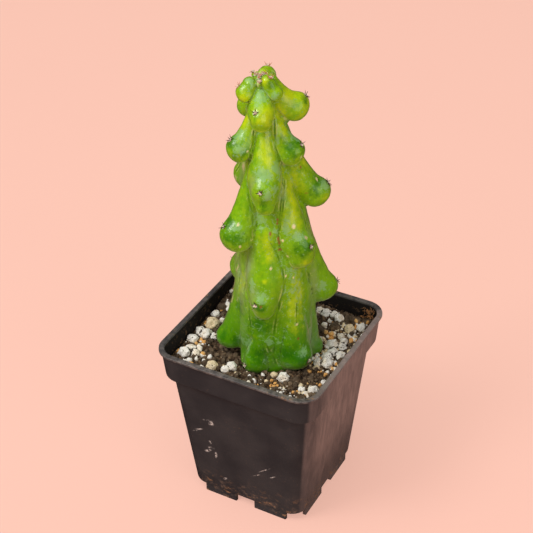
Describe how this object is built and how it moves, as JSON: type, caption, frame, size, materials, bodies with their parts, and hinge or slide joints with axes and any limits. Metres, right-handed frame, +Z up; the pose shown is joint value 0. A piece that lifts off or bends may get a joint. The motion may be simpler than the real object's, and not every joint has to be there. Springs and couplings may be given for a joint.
{
  "type": "potted boobie cactus",
  "caption": "Lumpy ribbed cactus with rounded drooping lobes, in a square nursery pot of gritty soil, that stands on a flat surface.",
  "frame": {"origin": "on the resting surface, under the middle of the pot", "axes": "+Z up along the stem, the pot's sides along X and Y"},
  "size_m": [0.089, 0.089, 0.2407],
  "materials": {
    "pot": "dark moulded plastic, dusty at the rim",
    "soil": "dark crumbly peat with bark fibres",
    "cactus": "waxy green skin, glossy in places",
    "perlite": "white rough grains",
    "pumice": "tan rough stones"
  },
  "bodies": {
    "root": {"pot": "pot", "soil": "soil", "cactus": "cactus", "perlite_right": "perlite", "perlite_back": "perlite", "perlite_left": "perlite", "perlite_wall": "perlite", "perlite_corner": "perlite", "perlite_near": "perlite", "perlite_front": "perlite", "perlite_stone": "perlite", "perlite_rear": "perlite", "perlite_far": "perlite", "pumice_left": "pumice", "pumice_right": "pumice", "pumice_near": "pumice"}
  },
  "joints": []
}
